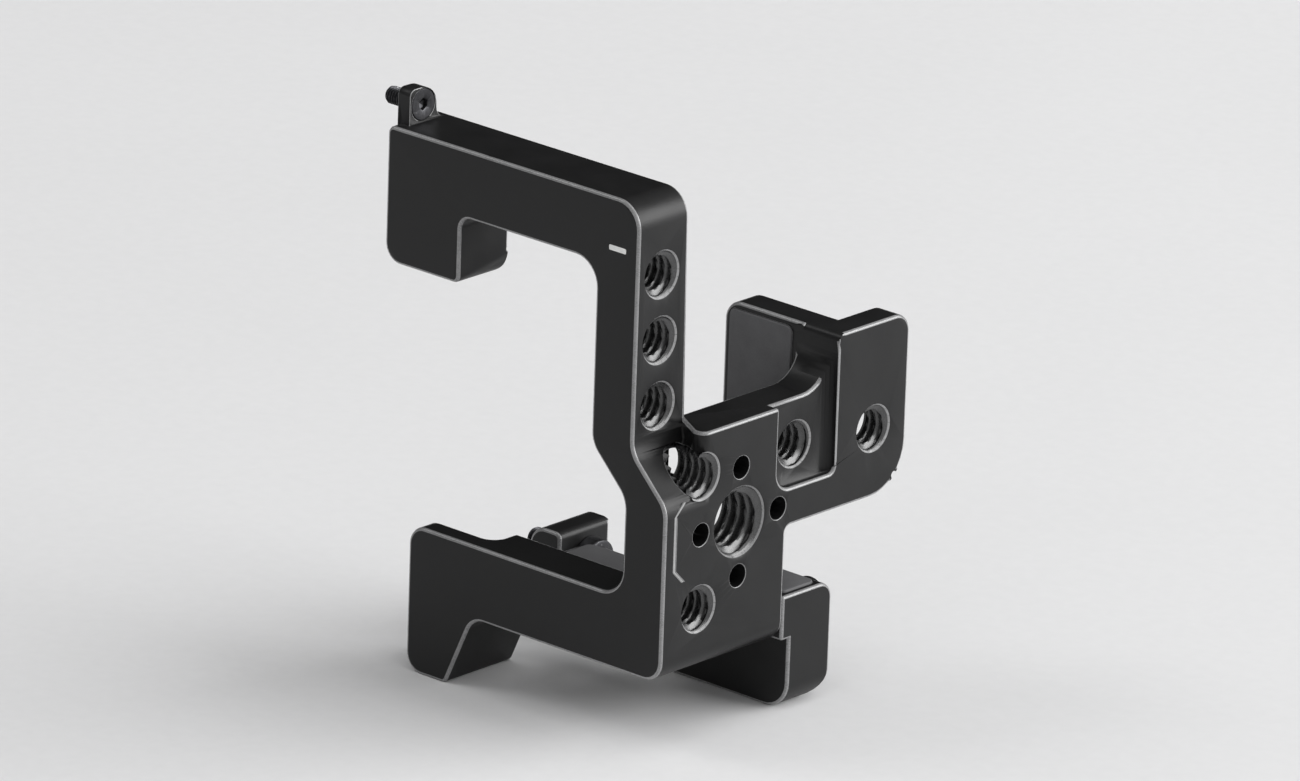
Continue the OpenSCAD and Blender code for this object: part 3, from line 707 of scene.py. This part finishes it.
# %% The four screws
upper = lathe("upper_screw_detail", socket_rows(1.5, 0.63, -43.0) + [
    ring(2.08, -43.0), ring(2.19, -43.1), ring(2.19, -43.2), ring(1.26, -44.13), ring(1.24, -44.66),
    ring(0.9, -44.69), ring(0.9, -45.29), ring(1.2, -45.32)] + thread_rows(1.24, 0.45, -45.34, -49.2),
    0, (4.4, 2.45), [BLACK_STEEL], "upper_screw", flip=True)
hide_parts("upper_mount_screw")
lower = lathe("lower_screw_detail", socket_rows(2, 1.32, -31.5) + cap_rows(2.74, -31.5, -33.9) + [
    ring(1.6, -33.9), ring(1.49, -34.0), ring(1.49, -38.62), ring(1.15, -38.65), ring(1.15, -39.25),
    ring(1.45, -39.27)] + thread_rows(1.49, 0.5, -39.3, -44.0),
    0, (29.7, -65.0), [BLACK_STEEL], "lower_screw", flip=True)
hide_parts("lower_mount_screw")
foot = [lathe("foot_screw_" + side, socket_rows(2, 1.65, 33.9) + cap_rows(2.74, 33.9, 30.9) + [
    ring(1.6, 30.9), ring(1.49, 30.8), ring(1.49, 17.3), ring(1.1, 16.9), ring(0, 16.9)],
    1, (-61.85, x), [BLACK_STEEL], "frame", flip=True)
    for side, x in (("inner", -4.8), ("outer", 2.65))]
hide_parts("foot_screws")
print("screws:", [screw.name for screw in (upper, lower, *foot)])

# %% [markdown]
# ## Pads and marks
# The silicone pads are die cut from sheet, so they are flat, with rounded corners and a soft rim. They could
# be bevelled boxes, but one of them is cut out round a hole, so they are built from an outline that is drawn
# in ring by ring over the rim. The marks, a white dash and a grey strip in the engraved line that paints a
# highlight along it, are made the same way.

# %% Flat pieces from an outline
def draw_in(outline, amount):
    """The outline moved inward by amount, corner by corner."""
    area = sum(a[0] * b[1] - b[0] * a[1] for a, b in zip(outline, outline[1:] + outline[:1]))
    turn = 1 if area > 0 else -1
    result = []
    for before, here, after in zip(outline[-1:] + outline[:-1], outline, outline[1:] + outline[:1]):
        one = (Vector(here) - Vector(before)).normalized()
        two = (Vector(after) - Vector(here)).normalized()
        inward = Vector((-one.y - two.y, one.x + two.x)) * turn
        scale = max(0.3, 1 + one.dot(two))
        result.append(tuple(Vector(here) + inward * amount / scale))
    return result


def round_corners(low, high, radius, count=6):
    """A rectangle's outline with rounded corners."""
    corners = ((low[0], low[1], 180), (high[0], low[1], 270), (high[0], high[1], 0), (low[0], high[1], 90))
    outline = []
    for a, b, start in corners:
        centre = (a + radius if a == low[0] else a - radius, b + radius if b == low[1] else b - radius)
        for i in range(count + 1):
            angle = math.radians(start + 90 * i / count)
            outline.append((centre[0] + radius * math.cos(angle), centre[1] + radius * math.sin(angle)))
    return outline


print("points in a rounded outline:", len(round_corners((0, 0), (4, 2), 0.5)))

# %% A flat piece
RIM_ANGLES = (0, 30, 60, 90)


def flat_piece(name, outline, axes, hidden, shown, rim, material):
    """Outline in two axes, from its hidden side to its shown side along the third, with a soft rim."""
    third = 3 - sum(axes)
    side = 1 if shown > hidden else -1
    rings = [(0, hidden)]
    for angle in RIM_ANGLES:
        a = math.radians(angle)
        rings.append((rim * (1 - math.cos(a)), shown - side * rim * (1 - math.sin(a))))
    points = []
    for amount, height in rings:
        for a, b in draw_in(outline, amount):
            point = [0, 0, 0]
            point[axes[0]], point[axes[1]], point[third] = a, b, height
            points.append(point)
    n = len(outline)
    last = (len(rings) - 1) * n
    faces = [list(range(n)), list(range(last, last + n))]
    for j in range(0, last, n):
        faces += [[j + i, j + (i + 1) % n, j + n + (i + 1) % n, j + n + i] for i in range(n)]
    return make_piece(name, points, faces, [material], "frame", closed=True)


print("a soft rim is drawn in at", RIM_ANGLES, "degrees")

# %% Pads, in the places of their solids
X, Y, Z = 0, 1, 2
PADS = (("block_pad", (X, Z), True), ("strip_pad", (X, Z), True), ("post_pad", (X, Z), False),
        ("floor_pad", (X, Y), True), ("foot_pad", (X, Y), True), ("panel_pad", (Y, Z), False))
PAD_CORNER, PAD_RIM, PAD_PLAY = 1, 0.16, 0.01
BITE_RADIUS = 5.08                   # cut out of the panel's pad, round the large thread
BITE = [(LARGE_Y + BITE_RADIUS * math.cos(math.radians(a)), LARGE_Z + BITE_RADIUS * math.sin(math.radians(a)))
        for a in range(128, -129, -8)]

for node, axes, faces_up in PADS:    # faces_up: the shown side lies toward the third axis
    low, high = (Vector(corner) / MM + LARGE_THREAD_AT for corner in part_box(node))
    outline = round_corners([low[a] + PAD_PLAY for a in axes], [high[a] - PAD_PLAY for a in axes], PAD_CORNER)
    if node == "panel_pad":
        outline = outline + BITE
    third = 3 - sum(axes)
    hidden, shown = (low[third], high[third]) if faces_up else (high[third], low[third])
    pad = flat_piece(node + "_sheet", outline, axes, hidden, shown, PAD_RIM, SILICONE)
    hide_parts(node)
    print(pad.name, [round(v, 1) for v in low], [round(v, 1) for v in high])

# %% The marks
DASH = round_corners((-5.2, -7.32), (-2.2, -6.58), 0.2)
LINE = [(3.6, -40.4), (4.0, -40.4), (2.3, -42.1), (2.3, -49.7), (4.0, -51.4), (3.6, -51.4), (1.9, -49.7),
        (1.9, -42.1)]
flat_piece("front_dash", DASH, (X, Z), 0.05, -0.02, 0.02, WHITE_FILL)
# The bracket fill is a light grey strip that paints a highlight along the engraved line.
flat_piece("bracket_highlight_fill", LINE, (Y, Z), 6.02, 6.24, 0.03, LINE_HIGHLIGHT_FILL)

# %% [markdown]
# ## Camera
# The picture is taken from the photograph's own direction and distance. The part is small and far from the
# middle in it, so here the camera looks straight at the part through a longer lens and is rolled by the two
# degrees by which the part leans there.

# %% The camera
TARGET = Vector((-19.86, 3.68, 12.29)) * MM
DISTANCE = 1615.6 * MM
AZIMUTH, ELEVATION, ROLL = (math.radians(a) for a in (41.664, 19.311, 1.962))
SENSOR_WIDTH, LENS = 36, 337    # millimetres


def make_camera():
    away = Vector((math.sin(AZIMUTH) * math.cos(ELEVATION), -math.cos(AZIMUTH) * math.cos(ELEVATION),
                   math.sin(ELEVATION)))
    right = (-away).cross(Vector((0, 0, 1))).normalized()
    up = right.cross(-away)
    leaned_right = right * math.cos(ROLL) + up * math.sin(ROLL)
    leaned_up = up * math.cos(ROLL) - right * math.sin(ROLL)
    data = bpy.data.cameras.new("camera")
    data.sensor_width = SENSOR_WIDTH
    data.lens = LENS
    data.clip_start = 0.05
    data.clip_end = 50
    camera = bpy.data.objects.new("camera", data)
    bpy.context.scene.collection.objects.link(camera)
    turn = Matrix((leaned_right, leaned_up, away)).transposed().to_4x4()
    camera.matrix_world = Matrix.Translation(TARGET + away * DISTANCE) @ turn
    bpy.context.scene.camera = camera
    return camera


camera = make_camera()
print("camera at", [round(v, 4) for v in camera.location])

# %% [markdown]
# ## Floor and light
# A wide pale floor carries the part, which stands on its front leg and its rear foot. One large soft lamp on
# the outer side makes the side faces lighter than the front, as on the real part. A weak one stands above,
# and a smaller one high at the front left draws the upper edges. The world gives the rest, much darker
# behind, so that the top faces stay deep.

# %% The floor
FLOOR_HALF = 6


def make_floor():
    mesh = bpy.data.meshes.new("floor")
    grid = bmesh.new()
    bmesh.ops.create_grid(grid, x_segments=8, y_segments=8, size=FLOOR_HALF)
    bmesh.ops.translate(grid, verts=grid.verts, vec=(0, 0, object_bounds()[0].z))
    grid.to_mesh(mesh)
    grid.free()
    floor = bpy.data.objects.new("floor", mesh)
    bpy.context.scene.collection.objects.link(floor)
    mesh.materials.append(finish("pale_floor", (0.76, 0.76, 0.765), (0.78, 0.78, 0.785), 0.75, grain=2,
                                 cloud=90, bump=0.02, specular=0.06))
    floor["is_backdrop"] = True
    return floor


floor = make_floor()
print("floor at z =", round(floor.data.vertices[0].co.z / MM, 2), "mm")

# %% The lamps
def softbox(name, position, size, power):
    data = bpy.data.lights.new(name, "AREA")
    data.shape = "RECTANGLE"
    data.size, data.size_y = size
    data.energy = power
    lamp = bpy.data.objects.new(name, data)
    bpy.context.scene.collection.objects.link(lamp)
    lamp.location = position
    lamp.rotation_euler = (TARGET - Vector(position)).to_track_quat("-Z", "Y").to_euler()
    print(name, power, "W")


softbox("side light", (1.4, 1.15, 0.7), (1.9, 1.2), 44)
softbox("top light", (0.5, 0.3, 1.9), (1.2, 1.2), 8)
softbox("edge light", (-1.1, -0.8, 1.5), (0.8, 0.8), 6)

# %% The world
BRIGHT_SIDE = Vector((0.8, -0.35, 0.3)).normalized()
DARK, BRIGHT = 0.02, 0.62


def make_world():
    """Dark on one side, and brighter toward BRIGHT_SIDE."""
    world = bpy.data.worlds.new("studio")
    world.use_nodes = True
    bpy.context.scene.world = world
    tree = world.node_tree
    background = tree.nodes["Background"]
    where = add(tree, "ShaderNodeTexCoord")
    toward = add(tree, "ShaderNodeVectorMath", operation="DOT_PRODUCT")
    wire(tree, where.outputs["Generated"], toward.inputs[0])
    toward.inputs[1].default_value = BRIGHT_SIDE
    strength = map_range(tree, toward.outputs["Value"], (-0.7, 0.7), (DARK, BRIGHT))
    background.inputs["Color"].default_value = (1, 1, 1, 1)
    wire(tree, strength, background.inputs["Strength"])


make_world()
bpy.context.scene.view_settings.view_transform = "Standard"
print("world strength from", DARK, "to", BRIGHT)
